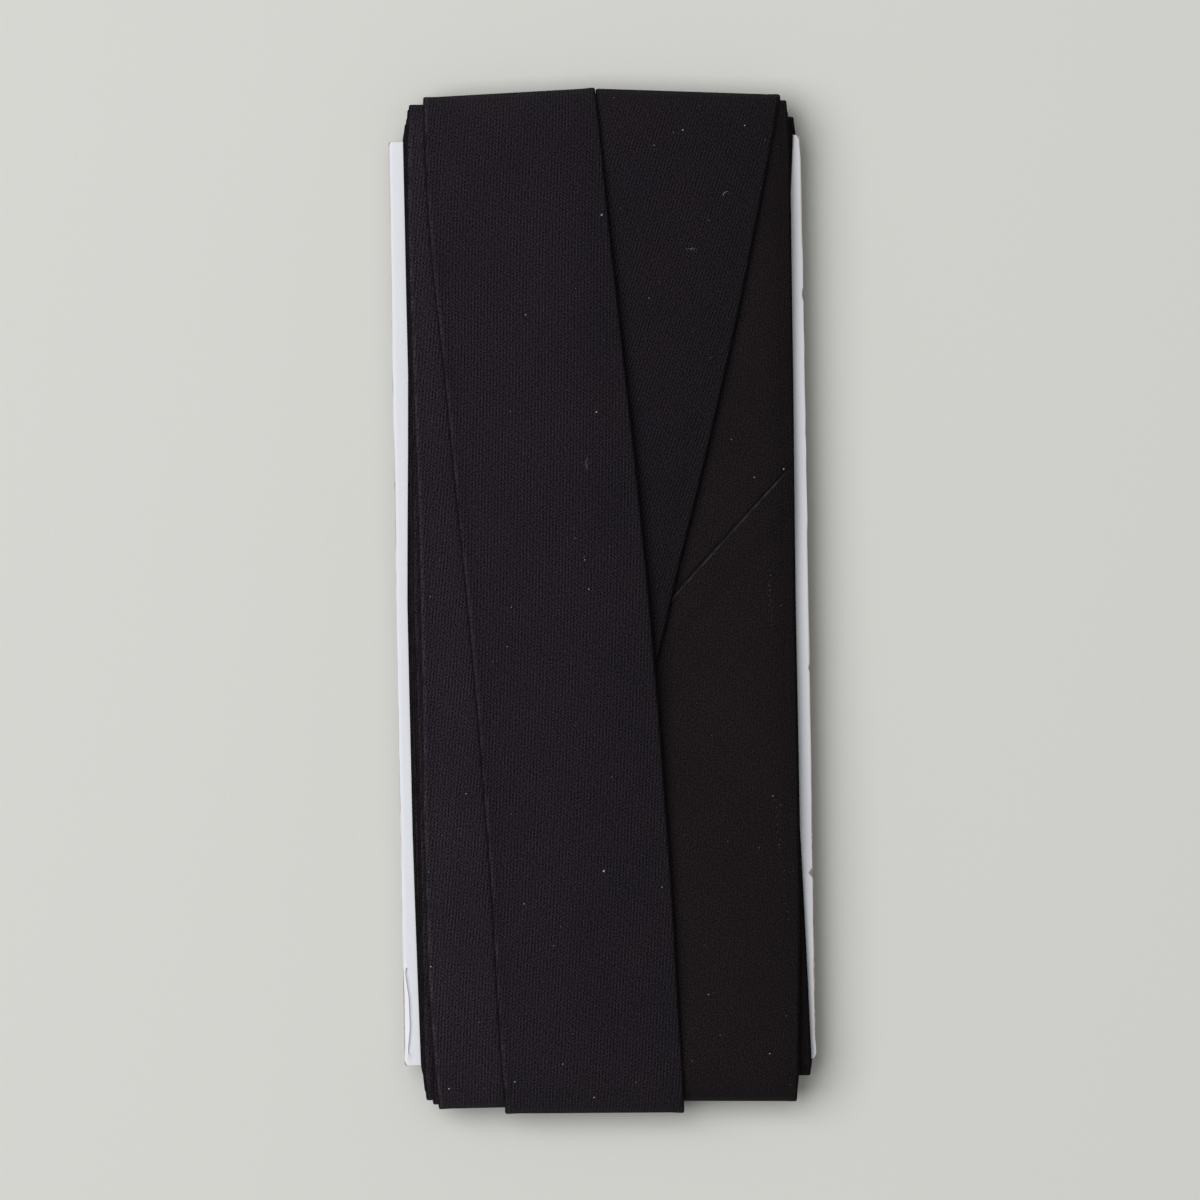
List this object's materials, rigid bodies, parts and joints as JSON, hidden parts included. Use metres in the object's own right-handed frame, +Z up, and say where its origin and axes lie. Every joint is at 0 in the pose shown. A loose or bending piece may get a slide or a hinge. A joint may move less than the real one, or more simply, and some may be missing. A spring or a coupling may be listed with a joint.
{
  "type": "roll of bias binding",
  "caption": "Black bias binding wound lengthwise round a flat card in side-by-side columns, its last strips crossing the front, lying on its back.",
  "frame": {"origin": "middle of the pack's resting plane, under the centre of the card", "axes": "+Z up out of the front face of the pack, +Y along the card towards its top end, +X to the right across the front"},
  "size_m": [0.07, 0.1738, 0.0123],
  "materials": {
    "bias_tape": "matt plain weave, near black with a faint violet cast",
    "card_paper": "matt white paper over greyboard"
  },
  "bodies": {
    "root": {"card": "card_paper", "wound_binding": "bias_tape"}
  },
  "joints": []
}
